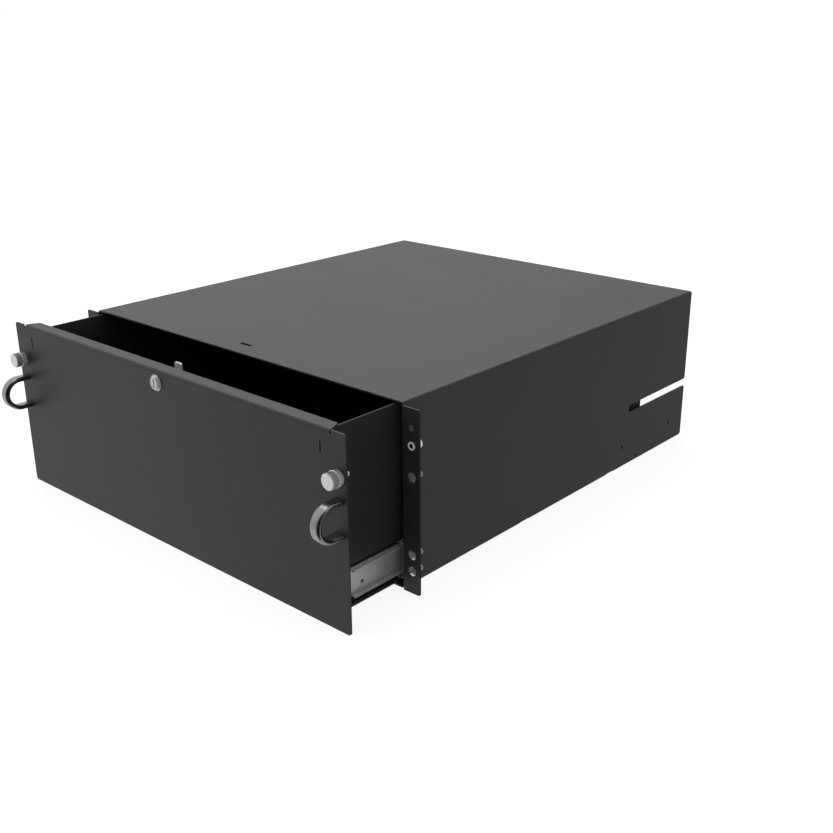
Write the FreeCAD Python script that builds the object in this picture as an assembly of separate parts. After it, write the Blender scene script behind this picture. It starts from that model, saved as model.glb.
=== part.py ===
import FreeCAD, Part
import math
import os

from FreeCAD import Vector

# Sliding rack drawer, 4 units high, drawn part way open.
# Millimetres. X runs to the right, Y into the rack, Z up. While the pieces are built, Y = 0 is the
# mounting face of the ears and Z = 0 the middle of the panel's height. save() then lifts each piece so
# that the origin is the middle of the four outer rack screws.

# Rack standard
rack_unit = 44.45
units_high = 4
panel_gap = 0.8
panel_width = 482.6
ear_width = 19.05
ear_hole_edge = 8.75
unit_holes = (6.35, 22.225, 38.1)

# Chassis sheet
chassis_sheet = 1.5
chassis_depth = 487.5
chassis_bend = 1.0
chassis_foot_gap = 0.1
foot_flange = 16.0
foot_chamfer = 3.0
ear_corner = 2.0

# Openings of the chassis
side_slot_height = 8.4
side_slot_length = 123.0
side_slot_z = -21.7
side_slot_corner = 3.0
foot_notch_length = 15.0
foot_notch_height = 1.7
foot_notch_front = 178.0
foot_notch_rear = 154.0
side_hole_r = 1.6
side_hole_from_rear = 101.4
side_hole_rise = 4.2
cam_slit_width = 4.0
cam_slit_corner = 1.6
cam_slit_lead = 0.5
cam_swing_clearance = 0.7
rack_hole_r = 2.75

# Cross ties of the open bottom
tie_width = 32.0
tie_sheet = 1.0
tie_bead_depth = 1.2
tie_bead_width = 12.0
tie_overlap = 6.5
tie_rivet_r = 2.0
tie_rivet_head_r = 3.0

# Front panel
panel_sheet = 1.5
panel_corner = 3.0
panel_bend = 2.0
flange_depth = 14.7
flange_end = 17.8
flange_mitre = 5.0
flange_relief = 2.2
flange_over_top = 0.3

# How the drawer stands in the photograph, and how far its slides run
drawer_open = 81.7
middle_open = 23.5
closed_gap = 1.5
stage_travel = 228.6

# Drawer box
tray_sheet = 1.2
tray_side_gap = 7.25
tray_rim_gap = 1.5
tray_floor_gap = 0.4
tray_back_gap = 1.5
tray_bend = 1.5
tray_jog_gap = 0.4
tab_height = 9.5
tab_below_top = 16.8
tab_gap = 0.3
tab_sunk = 0.9
back_sheet = 1.2
back_rim_drop = 5.7
back_flange = 14.0
back_gap = 0.1
back_corner = 4.0
back_rivet_r = 1.6
back_rivet_head_r = 2.8
back_rivet_head = 0.8
back_rivets_high = 3

# Ball slides
slide_length = 457.2
slide_rear_gap = 3.3
slide_depth = 12.7
slide_height = 45.0
slide_above_floor = 21.6
member_sheet = 1.2
ball_r = 2.0
race_gap = 0.15
member_gap = 1.05
inner_ball_depth = 8.0
middle_bend = 0.9
middle_lean = 20.0
outer_lip_turn = 170.0
middle_lip_turn = 90.0
inner_lean = 50.0
cage_sheet = 0.5
cage_bend = 0.5
cage_hole_gap = 0.1
cage_tip_gap = 0.35
cage_end_room = 3.0
cage_web_room = 0.7
balls_per_row = 6
slide_rivet_r = 2.1
slide_rivet_sunk = 0.6
slide_rivets_from_rear = (132.5, 31.5)
inner_rivet_front = 90.0
inner_rivet_rear = 27.2
inner_hole_r = 1.9
inner_hole_y = 14.9
inner_hole_drop = 4.4
member_hole_r = 2.6
member_hole_ys = (22.6, 36.0, 128.0, 228.6, 329.0, 430.0)
buffer_height = 12.0
buffer_gap = 0.3

# Handles
handle_height = 34.9
handle_reach = 28.5
handle_width = 11.0
handle_thick = 5.0
handle_mid_z = 15.6
handle_screw_r = 1.5
handle_screw_head_r = 3.0
handle_screw_length = 9.0

# Captive thumbscrews
thumb_knob_r = 7.3
thumb_knob_length = 6.2
thumb_shank_r = 2.0
thumb_shank_reach = 9.2
thumb_neck_r = 1.5
thumb_tip_chamfer = 0.7
ferrule_r = 7.7
ferrule_spigot_r = 5.6
ferrule_bore_r = 4.7
ferrule_wall = 0.9
thumb_travel = 4.5
thumb_gap = 0.2
clip_r = 4.4
clip_sheet = 0.7
clip_gap = 0.08
knob_edge = 0.6
knob_flutes = 44
knob_flute_depth = 0.4
insert_r = 4.6
insert_body_r = 4.2
insert_proud = 0.7
insert_depth = 7.0
insert_floor = 1.0
insert_gap = 0.1

# Rack screws
rack_screw_r = 2.5
rack_screw_head_r = 4.4
rack_screw_dome = 1.1
rack_screw_reach = 10.0
rack_recess_span = 3.6
rack_recess_width = 0.9
rack_recess_depth = 1.4

# Cam lock
lock_below_top = 12.5
lock_bezel_r = 8.0
lock_bezel_proud = 3.0
lock_bezel_slope = 1.5
lock_body_r = 6.4
lock_bore_gap = 0.05
plug_r = 4.6
plug_sunk = 0.3
key_slot_height = 8.0
key_slot_width = 1.7
key_slot_depth = 7.0
cam_behind_face = 25.4
cam_sheet = 2.0
cam_width = 9.5
cam_corner = 1.6
cam_reach = 13.0
cam_hub_r = 7.0
cam_square = 5.4
cam_fit = 0.05
cam_screw_head_r = 4.2
cam_screw_head = 2.2
cam_screw_r = 1.8
cam_screw_length = 7.0
lock_nut_across = 15.0
lock_nut_thick = 2.6

# Places that follow from the sizes above
panel_height = rack_unit * units_high - panel_gap
panel_half_width = panel_width / 2
panel_half_height = panel_height / 2
hole_x = panel_half_width - ear_hole_edge
chassis_half = panel_half_width - ear_width
chassis_inside = chassis_half - chassis_sheet
chassis_top_z = panel_half_height - panel_sheet - flange_over_top
foot_notch_ys = (foot_notch_front, chassis_depth - foot_notch_rear)
chassis_foot_z = -panel_half_height + chassis_foot_gap
closed_panel_back_y = -chassis_sheet - closed_gap
panel_back_y = closed_panel_back_y - drawer_open
panel_front_y = panel_back_y - panel_sheet
flange_half = panel_half_width - flange_end
lock_z = panel_half_height - lock_below_top
tab_z = panel_half_height - tab_below_top
ferrule_reach = thumb_travel + clip_sheet + 2 * (thumb_gap + ferrule_wall) - panel_sheet
tray_wall_half = chassis_inside - tray_side_gap
tray_rim_z = chassis_top_z - chassis_sheet - tray_rim_gap
tray_floor_z = chassis_foot_z + chassis_sheet + tie_sheet + tray_floor_gap
tray_back_y = chassis_depth - tray_back_gap - drawer_open
back_rim_z = tray_rim_z - back_rim_drop
slide_z = tray_floor_z + slide_above_floor
slide_front_y = chassis_depth - slide_rear_gap - slide_length
slide_wall_half = chassis_inside - slide_depth
race_r = ball_r + race_gap
race_mid_r = race_r + member_sheet / 2
ball_rise = slide_height / 2 - member_sheet - race_r
outer_ball_x = chassis_inside - member_sheet - race_r
inner_ball_x = chassis_inside - inner_ball_depth
middle_web_x = chassis_inside - member_sheet - member_gap - member_sheet / 2
lean = math.radians(middle_lean)
middle_run = middle_web_x - middle_bend - 2 * race_mid_r * math.sin(lean) - inner_ball_x
middle_slope = middle_run / math.cos(lean)
inner_ball_rise = ball_rise - 2 * race_mid_r * math.cos(lean) + middle_slope * math.sin(lean)
middle_top = inner_ball_rise + race_r + member_sheet
tray_jog_z = slide_z + middle_top + tray_jog_gap
tray_low_jog_z = slide_z - middle_top - tray_jog_gap
middle_front_y = slide_front_y - middle_open
inner_front_y = slide_front_y - drawer_open
inner_rear_rivet_y = slide_length - inner_rivet_rear
inner_rivet_ys = (inner_rivet_front, (inner_rivet_front + inner_rear_rivet_y) / 2, inner_rear_rivet_y)
cage_length = slide_length - stage_travel - 2 * cage_end_room
closed_cage_y = slide_front_y + stage_travel / 2 + cage_end_room
outer_cage_y = closed_cage_y - middle_open / 2
inner_cage_y = closed_cage_y - (middle_open + drawer_open) / 2
cam_y = panel_front_y + cam_behind_face
cam_slit_y = cam_y + drawer_open + cam_slit_lead


def row_z(unit, hole):
    """Height of a standard rack hole: its unit from the bottom and its place in that unit."""
    return (unit - units_high / 2) * rack_unit + unit_holes[hole]


screw_rows = (row_z(2, 1), row_z(0, 2), row_z(0, 1))
open_row = row_z(3, 1)
thumb_row = row_z(3, 0)
origin_lift = -(screw_rows[0] + screw_rows[2]) / 2


# Shared ways of making bent sheet, rolled strip and turned pieces

def at(plane, u, v, w=0.0):
    """A point drawn in a plane (XZ, XY or YZ) and w along the axis left over."""
    if plane == "XZ":
        return Vector(u, w, v)
    if plane == "XY":
        return Vector(u, v, w)
    return Vector(w, u, v)


def bent_strip(plane, start, heading, moves, sheet, low, high):
    """Sheet of one thickness that follows straight runs and bends, drawn along its middle line.
    A move is (length,) for a run, or (radius, turn) for a bend, where a positive turn is to the left."""
    left_edges = []
    right_edges = []
    point = start
    angle = math.radians(heading)

    def beside(place, direction, side):
        half = side * sheet / 2
        return at(plane, place[0] - half * math.sin(direction), place[1] + half * math.cos(direction), low)

    for move in moves:
        if len(move) == 1:
            after = (point[0] + move[0] * math.cos(angle), point[1] + move[0] * math.sin(angle))
            for side, edges in ((1, left_edges), (-1, right_edges)):
                edges.append(Part.makeLine(beside(point, angle, side), beside(after, angle, side)))
            point = after
            continue
        radius, turn = move
        way = math.copysign(1.0, turn)
        centre = (point[0] - way * radius * math.sin(angle), point[1] + way * radius * math.cos(angle))

        def on_bend(direction):
            across = way * radius * math.sin(direction)
            along = way * radius * math.cos(direction)
            return (centre[0] + across, centre[1] - along)

        middle = angle + math.radians(turn) / 2
        last = angle + math.radians(turn)
        for side, edges in ((1, left_edges), (-1, right_edges)):
            stations = [beside(on_bend(direction), direction, side) for direction in (angle, middle, last)]
            edges.append(Part.Arc(*stations).toShape())
        point = on_bend(last)
        angle = last
    caps = []
    for place, direction in ((start, math.radians(heading)), (point, angle)):
        caps.append(Part.makeLine(beside(place, direction, 1), beside(place, direction, -1)))
    wire = Part.Wire(Part.__sortEdges__(left_edges + right_edges + caps))
    return Part.Face(wire).extrude(at(plane, 0, 0, high - low))


def outline(plane, points, low, high):
    """Flat plate with straight edges."""
    corners = [at(plane, u, v, low) for u, v in points]
    return Part.Face(Part.makePolygon(corners + corners[:1])).extrude(at(plane, 0, 0, high - low))


def block_between(plane, first, second, low, high):
    """Block between two opposite corners of a drawing plane."""
    u0, u1 = sorted((first[0], second[0]))
    v0, v1 = sorted((first[1], second[1]))
    return outline(plane, ((u0, v0), (u1, v0), (u1, v1), (u0, v1)), low, high)


def corner_waste(plane, corner, inset, low, high):
    """What is cut away to round a corner. The inset leads from the corner to the middle of the round."""
    middle = (corner[0] + inset[0], corner[1] + inset[1])
    foot = at(plane, middle[0], middle[1], low)
    round_post = Part.makeCylinder(abs(inset[0]), high - low, foot, at(plane, 0, 0, 1))
    return block_between(plane, corner, middle, low, high).cut(round_post)


def rounded_plate(plane, lowest, highest, corner, low, high):
    """Flat plate with four round corners."""
    plate = block_between(plane, lowest, highest, low, high)
    for u, inset_u in ((lowest[0], corner), (highest[0], -corner)):
        for v, inset_v in ((lowest[1], corner), (highest[1], -corner)):
            plate = plate.cut(corner_waste(plane, (u, v), (inset_u, inset_v), low, high))
    return plate


def turned(x, z, profile):
    """Piece turned about a line along Y through (x, z). The profile is (radius, y) points."""
    points = [Vector(x + radius, y, z) for radius, y in profile]
    face = Part.Face(Part.makePolygon(points + points[:1]))
    return face.revolve(Vector(x, 0, z), Vector(0, 1, 0), 360)


def bar(x, z, radius, y0, y1):
    """Round bar along Y."""
    return Part.makeCylinder(radius, y1 - y0, Vector(x, y0, z), Vector(0, 1, 0))


def cross_bar(y, z, radius, x0, x1):
    """Round bar along X."""
    return Part.makeCylinder(radius, x1 - x0, Vector(x0, y, z), Vector(1, 0, 0))


def post(x, y, radius, z0, z1):
    """Round bar along Z."""
    return Part.makeCylinder(radius, z1 - z0, Vector(x, y, z0), Vector(0, 0, 1))


def mirrored(shape):
    """The same piece on the left side."""
    return shape.mirror(Vector(0, 0, 0), Vector(1, 0, 0))


def both_sides(shape):
    """A right half joined to its left half."""
    return shape.fuse(mirrored(shape)).removeSplitter()


def above_and_below(shape, middle_z):
    """An upper half joined to its lower half."""
    return shape.fuse(shape.mirror(Vector(0, 0, middle_z), Vector(0, 0, 1))).removeSplitter()


def save(name, shape):
    """Write one piece, or one group of like pieces, with the origin among the rack screws."""
    placed = shape.copy()
    placed.translate(Vector(0, 0, origin_lift))
    placed.exportStep("parts/" + name + ".step")


# Chassis

def chassis_shell():
    """Top, sides and foot flanges bent from one sheet, with the ears turned outwards at the front."""
    sheet = chassis_sheet
    bend = chassis_bend + sheet / 2
    straight = chassis_half - chassis_bend - sheet
    wall = chassis_top_z - chassis_foot_z - 2 * (chassis_bend + sheet)
    moves = ((straight,), (bend, -90), (wall,), (bend, -90), (foot_flange - chassis_bend - sheet,))
    shell = bent_strip("XZ", (0, chassis_top_z - sheet / 2), 0, moves, sheet, 0, chassis_depth)
    ear_top = chassis_top_z - chassis_bend - sheet
    front = block_between("XZ", (chassis_inside - sheet, chassis_foot_z - sheet),
                          (chassis_half + sheet, ear_top), -sheet, chassis_bend)
    shell = shell.cut(front)
    ear_run = panel_half_width - chassis_half - chassis_bend
    ear = bent_strip("XY", (panel_half_width, -sheet / 2), 180, ((ear_run,), (bend, -90), (sheet,)),
                     sheet, chassis_foot_z, ear_top)
    for z, inset in ((ear_top, -ear_corner), (chassis_foot_z, ear_corner)):
        ear = ear.cut(corner_waste("XZ", (panel_half_width, z), (-ear_corner, inset), -2 * sheet, sheet))
    shell = shell.fuse(ear).removeSplitter()
    for y in foot_notch_ys:
        shell = shell.cut(block_between("YZ", (y - foot_notch_length / 2, chassis_foot_z - sheet),
                                        (y + foot_notch_length / 2, chassis_foot_z + foot_notch_height),
                                        chassis_inside - foot_notch_height, chassis_half + sheet))
    slot_front = chassis_depth - side_slot_length
    half_slot = side_slot_height / 2
    shell = shell.cut(block_between("YZ", (slot_front + half_slot, side_slot_z - half_slot),
                                    (chassis_depth + sheet, side_slot_z + half_slot),
                                    chassis_inside - sheet, chassis_half + sheet))
    shell = shell.cut(cross_bar(slot_front + half_slot, side_slot_z, half_slot,
                                chassis_inside - sheet, chassis_half + sheet))
    for up in (1, -1):
        lip = (chassis_depth, side_slot_z + up * half_slot)
        shell = shell.cut(corner_waste("YZ", lip, (-side_slot_corner, up * side_slot_corner),
                                       chassis_inside - sheet, chassis_half + sheet))
    rear_corner = ((chassis_depth, chassis_foot_z), (chassis_depth, chassis_foot_z + foot_chamfer),
                   (chassis_depth - foot_chamfer, chassis_foot_z))
    shell = shell.cut(outline("YZ", rear_corner, chassis_inside, chassis_half + sheet))
    side_holes = [(y, slide_z, slide_rivet_r) for y in wall_rivet_ys()]
    low_hole_z = chassis_foot_z + sheet + side_hole_rise
    side_holes.append((chassis_depth - side_hole_from_rear, low_hole_z, side_hole_r))
    for y, z, radius in side_holes:
        shell = shell.cut(cross_bar(y, z, radius, chassis_inside - sheet, chassis_half + sheet))
    cone = ((0, -sheet), (rack_screw_head_r, -sheet), (rack_screw_head_r - sheet, 0), (0, 0))
    for z in screw_rows:
        shell = shell.cut(turned(hole_x, z, cone))
    shell = shell.cut(bar(hole_x, open_row, rack_hole_r, -2 * sheet, sheet))
    shell = shell.cut(bar(hole_x, thumb_row, insert_body_r, -2 * sheet, sheet))
    for y in foot_notch_ys:
        for rivet_y in tie_rivet_places(y):
            shell = shell.cut(post(tie_rivet_x(), rivet_y, tie_rivet_r,
                                   chassis_foot_z - sheet, chassis_foot_z + 2 * sheet))
    shell = both_sides(shell)
    corner_swing = cam_reach ** 2 + (cam_width / 2) ** 2
    swing_x = math.sqrt(corner_swing - (chassis_top_z - chassis_sheet - lock_z) ** 2)
    half_slit = cam_slit_width / 2
    slit = rounded_plate("XY", (-swing_x - cam_swing_clearance, cam_slit_y - half_slit),
                         (cam_width / 2 + cam_swing_clearance, cam_slit_y + half_slit),
                         cam_slit_corner, chassis_top_z - 2 * sheet, chassis_top_z + sheet)
    return shell.cut(slit)


def tie_rivet_x():
    """The rivets stand in the middle of the lap between tie and foot flange."""
    return chassis_half - foot_flange + tie_overlap / 2


def tie_rivet_places(y):
    """Two rivets a tie end, either side of its bead."""
    reach = (tie_width + tie_bead_width) / 4
    return (y - reach, y + reach)


def cross_tie(y):
    """Strip across the open bottom, laid on the foot flanges, with a bead pressed down between them."""
    flange_top = chassis_foot_z + chassis_sheet
    half = chassis_half - foot_flange + tie_overlap
    side = (tie_width - tie_bead_width) / 2 - tie_bead_depth
    level = flange_top + tie_sheet / 2
    strip = block_between("XY", (-half, y - tie_width / 2), (half, y + tie_width / 2),
                          flange_top, flange_top + tie_sheet)
    bead_half = chassis_half - foot_flange - tie_bead_width
    gap = block_between("XY", (-bead_half, y - tie_width / 2 + side), (bead_half, y + tie_width / 2 - side),
                        flange_top - tie_sheet, flange_top + 2 * tie_sheet)
    points = [(y - tie_width / 2 + side, level)]
    for length, drop in ((tie_bead_depth, -tie_bead_depth), (tie_bead_width, 0),
                         (tie_bead_depth, tie_bead_depth)):
        points.append((points[-1][0] + length, points[-1][1] + drop))
    half_sheet = tie_sheet / 2
    lower = [(u, v - half_sheet) for u, v in points]
    upper = [(u, v + half_sheet) for u, v in points]
    bead = outline("YZ", lower + upper[::-1], -bead_half, bead_half)
    tie = strip.cut(gap).fuse(bead)
    for x in (-tie_rivet_x(), tie_rivet_x()):
        for rivet_y in tie_rivet_places(y):
            tie = tie.cut(tie_rivet_cone(x, rivet_y))
    return tie.removeSplitter()


def tie_rivet_cone(x, y):
    """Countersunk head of a rivet, flush with the top of the tie."""
    foot = Vector(x, y, chassis_foot_z + chassis_sheet)
    return Part.makeCone(tie_rivet_r, tie_rivet_head_r, tie_sheet, foot, Vector(0, 0, 1))


def tie_rivets():
    """Countersunk rivets through each tie end and foot flange, flush above and below."""
    rivets = []
    for y in foot_notch_ys:
        for x in (-tie_rivet_x(), tie_rivet_x()):
            for rivet_y in tie_rivet_places(y):
                stem = post(x, rivet_y, tie_rivet_r, chassis_foot_z, chassis_foot_z + chassis_sheet)
                rivets.append(stem.fuse(tie_rivet_cone(x, rivet_y)).removeSplitter())
    return Part.makeCompound(rivets)


def rack_screws():
    """Oval countersunk screws, three in each ear, whose threads stand behind the ears."""
    screws = []
    profile = ((0, -chassis_sheet), (rack_screw_head_r, -chassis_sheet),
               (rack_screw_head_r - chassis_sheet, 0), (rack_screw_r, 0),
               (rack_screw_r, rack_screw_reach), (0, rack_screw_reach))
    dome_y = -chassis_sheet - rack_screw_dome
    dome_r = (rack_screw_head_r ** 2 + rack_screw_dome ** 2) / (2 * rack_screw_dome)
    for x in (-hole_x, hole_x):
        for z in screw_rows:
            ball = Part.makeSphere(dome_r, Vector(x, dome_y + dome_r, z))
            dome = ball.common(bar(x, z, rack_screw_head_r, dome_y, -chassis_sheet))
            screw = turned(x, z, profile).fuse(dome).removeSplitter()
            for span_x, span_z in ((rack_recess_span, rack_recess_width),
                                   (rack_recess_width, rack_recess_span)):
                screw = screw.cut(block_between("XZ", (x - span_x / 2, z - span_z / 2),
                                                (x + span_x / 2, z + span_z / 2),
                                                dome_y, dome_y + rack_recess_depth))
            screws.append(screw)
    return Part.makeCompound(screws)


def ear_inserts():
    """Blind threaded inserts, one pressed into each ear where the thumbscrew lands."""
    bore = thumb_shank_r + insert_gap
    front = -chassis_sheet - insert_proud
    end = insert_depth + insert_floor
    profile = ((bore, front), (insert_r, front), (insert_r, -chassis_sheet), (insert_body_r, -chassis_sheet),
               (insert_body_r, end), (0, end), (0, insert_depth), (bore, insert_depth))
    return Part.makeCompound([turned(x, thumb_row, profile) for x in (-hole_x, hole_x)])


# Ball slides, drawn for the right side. Their sections are drawn upwards from the slide's middle.

def wall_rivet_ys():
    """Places of the rivets along the chassis side."""
    return [chassis_depth - back for back in slide_rivets_from_rear]


def slide_outer():
    """Member on the chassis wall. Its edges curl over the outer ball rows."""
    moves = ((ball_rise,), (race_mid_r, outer_lip_turn))
    half = bent_strip("XZ", (chassis_inside - member_sheet / 2, slide_z), 90, moves, member_sheet,
                      slide_front_y, slide_front_y + slide_length)
    member = above_and_below(half, slide_z)
    for y in wall_rivet_ys():
        member = member.cut(cross_bar(y, slide_z, slide_rivet_r,
                                      chassis_inside - 2 * member_sheet, chassis_half))
    return member


def slide_middle():
    """Member between the two ball stages. Each edge is an S: a race under the outer balls and one over
    the inner balls."""
    rise = ball_rise - race_mid_r - middle_bend
    moves = ((rise,), (middle_bend, 90), (race_mid_r, -middle_lean), (middle_slope,),
             (race_mid_r, middle_lip_turn))
    half = bent_strip("XZ", (middle_web_x, slide_z), 90, moves, member_sheet,
                      middle_front_y, middle_front_y + slide_length)
    member = above_and_below(half, slide_z)
    for y in member_hole_ys:
        member = member.cut(cross_bar(middle_front_y + y, slide_z, member_hole_r,
                                      middle_web_x - member_sheet, middle_web_x + member_sheet))
    return member


def slide_inner():
    """Member on the drawer wall, with a race under each inner ball row."""
    tilt = math.radians(inner_lean)
    web_x = slide_wall_half + member_sheet / 2
    shoulder = (inner_ball_x - web_x - race_mid_r * math.sin(tilt)) / (1 + math.sin(tilt))
    rise = inner_ball_rise - (race_mid_r + shoulder) * math.cos(tilt)
    moves = ((rise,), (shoulder, -90 - inner_lean), (race_mid_r, 2 * inner_lean))
    half = bent_strip("XZ", (web_x, slide_z), 90, moves, member_sheet,
                      inner_front_y, inner_front_y + slide_length)
    member = above_and_below(half, slide_z)
    holes = [(y, slide_z, slide_rivet_r) for y in inner_rivet_ys]
    holes.append((inner_hole_y, slide_z - inner_hole_drop, inner_hole_r))
    for y, z, radius in holes:
        member = member.cut(cross_bar(inner_front_y + y, z, radius,
                                      slide_wall_half - member_sheet, slide_wall_half + 2 * member_sheet))
    return member


def cage(web_x, ball_x, rise, front_y):
    """Pressed strip with a comb of fingers that keeps the balls apart in both rows."""
    finger = web_x - cage_bend - (ball_x - race_r + cage_tip_gap)
    moves = ((rise - cage_bend,), (cage_bend, 90), (finger,))
    half = bent_strip("XZ", (web_x, slide_z), 90, moves, cage_sheet, front_y, front_y + cage_length)
    strip = above_and_below(half, slide_z)
    for y in ball_places(front_y):
        for z in (slide_z - rise, slide_z + rise):
            strip = strip.cut(post(ball_x, y, ball_r + cage_hole_gap, z - ball_r, z + ball_r))
    return strip


def ball_places(front_y):
    """Balls spread evenly along a cage."""
    pitch = cage_length / balls_per_row
    return [front_y + pitch * (index + 0.5) for index in range(balls_per_row)]


def ball_rows(ball_x, rise, front_y):
    """Steel balls of the upper and lower rows."""
    balls = []
    for y in ball_places(front_y):
        for z in (slide_z - rise, slide_z + rise):
            balls.append(Part.makeSphere(ball_r, Vector(ball_x, y, z)))
    return Part.makeCompound(balls)


def wall_rivets():
    """Flush rivets that hold the outer member to the chassis side."""
    places = [cross_bar(y, slide_z, slide_rivet_r, chassis_inside - member_sheet,
                        chassis_half - slide_rivet_sunk) for y in wall_rivet_ys()]
    return Part.makeCompound(places + [mirrored(rivet) for rivet in places])


def tray_rivets():
    """Flush rivets that hold the inner member to the drawer wall."""
    places = [cross_bar(inner_front_y + y, slide_z, slide_rivet_r,
                        slide_wall_half - tray_sheet, slide_wall_half + member_sheet) for y in inner_rivet_ys]
    return Part.makeCompound(places + [mirrored(rivet) for rivet in places])


def slide_buffers():
    """Rubber stops in the rear ends of the outer members."""
    rear = slide_front_y + slide_length
    web_x = chassis_inside - member_sheet
    low = slide_z - buffer_height / 2
    high = slide_z + buffer_height / 2
    end = chassis_depth - buffer_gap
    foot = block_between("XY", (web_x, rear), (chassis_inside, end), low, high)
    pad = block_between("XY", (slide_wall_half + member_sheet, rear + buffer_gap), (web_x, end), low, high)
    stop = foot.fuse(pad).removeSplitter()
    return Part.makeCompound([stop, mirrored(stop)])


# Drawer

def drawer_tray():
    """Bottom and side walls bent from one sheet. The walls are set in around the slides."""
    bend = tray_bend + tray_sheet / 2
    fold = (tray_low_jog_z - tray_floor_z - tray_sheet) / 2
    floor = tray_wall_half - tray_sheet / 2 - fold
    low_step = floor - slide_wall_half - tray_bend
    lower = tray_jog_z - tray_low_jog_z + tray_sheet - 2 * bend
    step = tray_wall_half - slide_wall_half - 2 * bend
    upper = tray_rim_z - tray_jog_z - tray_sheet - tray_bend
    moves = ((floor,), (fold, 180), (low_step,), (bend, -90), (lower,), (bend, -90), (step,), (bend, 90),
             (upper,))
    half = bent_strip("XZ", (0, tray_floor_z + tray_sheet / 2), 0, moves, tray_sheet,
                      panel_back_y, tray_back_y)
    tab = block_between("XZ", (tray_wall_half - tray_sheet, tab_z - tab_height / 2),
                        (tray_wall_half, tab_z + tab_height / 2), panel_front_y + tab_sunk, panel_back_y)
    half = half.fuse(tab)
    for y in inner_rivet_ys:
        half = half.cut(cross_bar(inner_front_y + y, slide_z, slide_rivet_r,
                                  slide_wall_half - 2 * tray_sheet, slide_wall_half + tray_sheet))
    for z in back_rivet_zs():
        half = half.cut(cross_bar(back_rivet_y(), z, back_rivet_r, tray_wall_half - 2 * tray_sheet,
                                  tray_wall_half + tray_sheet))
    return both_sides(half)


def back_rivet_y():
    """The rivets stand in the middle of the back's side flanges."""
    return tray_back_y - back_flange / 2


def back_rivet_zs():
    """Rivets spread evenly up the side flanges of the back."""
    pitch = (back_rim_z - tray_jog_z) / back_rivets_high
    return [tray_jog_z + pitch * (index + 1 / 2) for index in range(back_rivets_high)]


def drawer_back():
    """Back wall between the tray's walls, with side flanges turned forwards along them."""
    inside = tray_wall_half - tray_sheet - back_gap
    bend = tray_bend + back_sheet / 2
    moves = ((inside - tray_bend - back_sheet,), (bend, -90), (back_flange - tray_bend - back_sheet,))
    flange_foot = tray_jog_z + tray_sheet + tray_bend + back_corner
    upper = bent_strip("XY", (0, tray_back_y - back_sheet / 2), 0, moves, back_sheet, flange_foot, back_rim_z)
    low_half = slide_wall_half - tray_sheet - back_gap
    floor = tray_floor_z + tray_sheet + back_gap
    lower = outline("XZ", ((0, floor), (low_half - back_corner, floor), (low_half, floor + back_corner),
                           (low_half, flange_foot), (0, flange_foot)), tray_back_y - back_sheet, tray_back_y)
    half = upper.fuse(lower)
    for z in back_rivet_zs():
        half = half.cut(cross_bar(back_rivet_y(), z, back_rivet_r,
                                  inside - 2 * back_sheet, inside + back_sheet))
    return both_sides(half)


def back_rivets():
    """Rivets through the tray's walls and the back's flanges, with their flat heads inside."""
    inside = tray_wall_half - tray_sheet - back_gap - back_sheet
    rivets = []
    for z in back_rivet_zs():
        rivet = cross_bar(back_rivet_y(), z, back_rivet_r, inside, tray_wall_half)
        head = cross_bar(back_rivet_y(), z, back_rivet_head_r, inside - back_rivet_head, inside)
        rivets.append(rivet.fuse(head).removeSplitter())
    return Part.makeCompound(rivets + [mirrored(rivet) for rivet in rivets])


def front_panel():
    """Panel with round corners. Between two reliefs its top edge is bent back into a mitred flange."""
    bend = panel_bend + panel_sheet / 2
    straight = panel_half_height - panel_bend - panel_sheet
    plate = rounded_plate("XZ", (-panel_half_width, -panel_half_height),
                          (panel_half_width, panel_half_height), panel_corner, panel_front_y, panel_back_y)
    gap_half = flange_half + flange_relief
    plate = plate.cut(block_between("XZ", (-gap_half, straight), (gap_half, panel_half_height + panel_sheet),
                                    panel_front_y - panel_sheet, panel_back_y + panel_sheet))
    run = flange_depth - panel_bend - panel_sheet
    flange = bent_strip("YZ", (panel_front_y + panel_sheet / 2, straight), 90, ((bend, -90), (run,)),
                        panel_sheet, -flange_half, flange_half)
    corner_y = panel_front_y + flange_depth
    mitre = outline("XY", ((flange_half, corner_y - run), (flange_half + flange_mitre, corner_y - run),
                           (flange_half + flange_mitre, corner_y + panel_sheet),
                           (flange_half - flange_mitre, corner_y)), straight, panel_half_height + panel_sheet)
    panel = plate.fuse(flange.cut(mitre).cut(mirrored(mitre))).removeSplitter()
    slit = block_between("XZ", (tray_wall_half - tray_sheet - tab_gap, tab_z - tab_height / 2 - tab_gap),
                         (tray_wall_half + tab_gap, tab_z + tab_height / 2 + tab_gap),
                         panel_front_y - panel_sheet, panel_back_y + panel_sheet)
    panel = panel.cut(slit).cut(mirrored(slit))
    panel = panel.cut(bar(0, lock_z, lock_body_r, panel_front_y, panel_back_y))
    for x in (-hole_x, hole_x):
        panel = panel.cut(bar(x, thumb_row, ferrule_spigot_r, panel_front_y, panel_back_y))
        for z in handle_foot_zs():
            panel = panel.cut(turned(x, z, handle_screw_cone()))
    return panel


# Handles

def handle_foot_zs():
    """Heights of a handle's two feet."""
    half = (handle_height - handle_thick) / 2
    return (handle_mid_z - half, handle_mid_z + half)


def handle_screw_cone():
    """Countersink from the back of the panel down to the thread."""
    front_r = handle_screw_head_r - panel_sheet
    return ((0, panel_front_y), (front_r, panel_front_y),
            (handle_screw_head_r, panel_back_y), (0, panel_back_y))


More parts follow.
